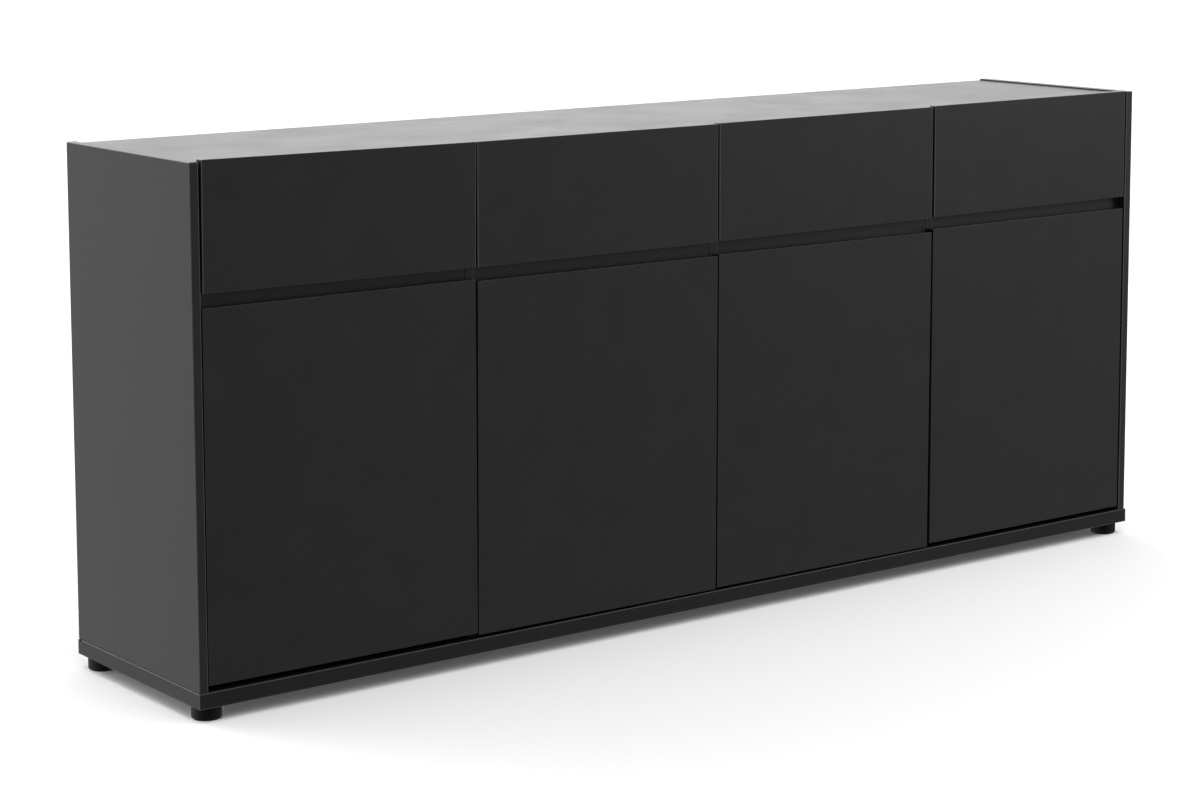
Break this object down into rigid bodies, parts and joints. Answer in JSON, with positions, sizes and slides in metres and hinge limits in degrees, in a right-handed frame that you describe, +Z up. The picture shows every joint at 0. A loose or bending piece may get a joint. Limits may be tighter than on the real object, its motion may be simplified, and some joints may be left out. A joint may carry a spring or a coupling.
{
  "type": "sideboard with drawers",
  "caption": "Long low handle-less sideboard: a row of drawers over hinged doors with a finger channel between them, on a base board with round feet.",
  "frame": {"origin": "on the floor, below the centre of the bounding box", "axes": "+Z up, the drawer fronts and doors face -Y, +X to the right of a person who faces the front"},
  "size_m": [2.063, 0.403, 0.8707],
  "materials": {
    "laminate_outside": "matt anthracite melamine laminate on particle board",
    "laminate_inside": "matt anthracite melamine laminate on particle board",
    "hardboard": "thin lacquered hardboard",
    "drawer_board": "grey foil on board",
    "foot_plastic": "matt black moulded plastic",
    "plated_steel": "zinc-plated steel",
    "nickel": "nickel-plated steel"
  },
  "bodies": {
    "carcass": {"base_board": "laminate_outside", "side_panel_left": "laminate_outside", "side_panel_right": "laminate_outside", "top_panel": "laminate_outside", "partition_left": "laminate_inside", "partition_centre": "laminate_inside", "partition_right": "laminate_inside", "back_panel_left": "hardboard", "back_panel_right": "hardboard", "channel_rail_1": "laminate_inside", "channel_rail_2": "laminate_inside", "channel_rail_3": "laminate_inside", "channel_rail_4": "laminate_inside", "shelf_1": "laminate_inside", "shelf_2": "laminate_inside", "shelf_3": "laminate_inside", "shelf_4": "laminate_inside", "shelf_pins": "plated_steel", "corner_feet": "foot_plastic", "middle_feet": "foot_plastic", "cam_fittings": "plated_steel", "cabinet_runners": "plated_steel", "hinge_arms": "nickel"},
    "drawer_1": {"drawer_1_front": "laminate_outside", "drawer_1_side_left": "drawer_board", "drawer_1_side_right": "drawer_board", "drawer_1_back": "drawer_board", "drawer_1_bottom": "drawer_board", "drawer_1_runners": "plated_steel"},
    "drawer_1_cages": {"drawer_1_ball_cages": "plated_steel"},
    "door_1": {"door_1": "laminate_outside", "door_1_hinge_cups": "nickel"},
    "drawer_2": {"drawer_2_front": "laminate_outside", "drawer_2_side_left": "drawer_board", "drawer_2_side_right": "drawer_board", "drawer_2_back": "drawer_board", "drawer_2_bottom": "drawer_board", "drawer_2_runners": "plated_steel"},
    "drawer_2_cages": {"drawer_2_ball_cages": "plated_steel"},
    "door_2": {"door_2": "laminate_outside", "door_2_hinge_cups": "nickel"},
    "drawer_3": {"drawer_3_front": "laminate_outside", "drawer_3_side_left": "drawer_board", "drawer_3_side_right": "drawer_board", "drawer_3_back": "drawer_board", "drawer_3_bottom": "drawer_board", "drawer_3_runners": "plated_steel"},
    "drawer_3_cages": {"drawer_3_ball_cages": "plated_steel"},
    "door_3": {"door_3": "laminate_outside", "door_3_hinge_cups": "nickel"},
    "drawer_4": {"drawer_4_front": "laminate_outside", "drawer_4_side_left": "drawer_board", "drawer_4_side_right": "drawer_board", "drawer_4_back": "drawer_board", "drawer_4_bottom": "drawer_board", "drawer_4_runners": "plated_steel"},
    "drawer_4_cages": {"drawer_4_ball_cages": "plated_steel"},
    "door_4": {"door_4": "laminate_outside", "door_4_hinge_cups": "nickel"}
  },
  "joints": [
    {"name": "drawer_1_slide", "type": "slide", "parent": "carcass", "child": "drawer_1", "axis": [0, -1, 0], "range_m": [0, 0.25]},
    {"name": "drawer_1_cage_slide", "type": "slide", "parent": "carcass", "child": "drawer_1_cages", "axis": [0, -1, 0], "range_m": [0, 0.125]},
    {"name": "door_1_hinge", "type": "hinge", "parent": "carcass", "child": "door_1", "pos_m": [-1.012, -0.1985, 0.3502], "axis": [0, 0, -1], "range_deg": [0, 100]},
    {"name": "drawer_2_slide", "type": "slide", "parent": "carcass", "child": "drawer_2", "axis": [0, -1, 0], "range_m": [0, 0.25]},
    {"name": "drawer_2_cage_slide", "type": "slide", "parent": "carcass", "child": "drawer_2_cages", "axis": [0, -1, 0], "range_m": [0, 0.125]},
    {"name": "door_2_hinge", "type": "hinge", "parent": "carcass", "child": "door_2", "pos_m": [-0.0044, -0.1985, 0.3451], "axis": [0, 0, 1], "range_deg": [0, 90]},
    {"name": "drawer_3_slide", "type": "slide", "parent": "carcass", "child": "drawer_3", "axis": [0, -1, 0], "range_m": [0, 0.25]},
    {"name": "drawer_3_cage_slide", "type": "slide", "parent": "carcass", "child": "drawer_3_cages", "axis": [0, -1, 0], "range_m": [0, 0.125]},
    {"name": "door_3_hinge", "type": "hinge", "parent": "carcass", "child": "door_3", "pos_m": [-0.001, -0.1985, 0.3448], "axis": [0, 0, -1], "range_deg": [0, 90]},
    {"name": "drawer_4_slide", "type": "slide", "parent": "carcass", "child": "drawer_4", "axis": [0, -1, 0], "range_m": [0, 0.25]},
    {"name": "drawer_4_cage_slide", "type": "slide", "parent": "carcass", "child": "drawer_4_cages", "axis": [0, -1, 0], "range_m": [0, 0.125]},
    {"name": "door_4_hinge", "type": "hinge", "parent": "carcass", "child": "door_4", "pos_m": [1.0087, -0.1985, 0.349], "axis": [0, 0, 1], "range_deg": [0, 100]}
  ],
  "couplings": [
    {"joint": "drawer_1_cage_slide", "follows": "drawer_1_slide", "ratio": 0.5},
    {"joint": "drawer_2_cage_slide", "follows": "drawer_2_slide", "ratio": 0.5},
    {"joint": "drawer_3_cage_slide", "follows": "drawer_3_slide", "ratio": 0.5},
    {"joint": "drawer_4_cage_slide", "follows": "drawer_4_slide", "ratio": 0.5}
  ]
}
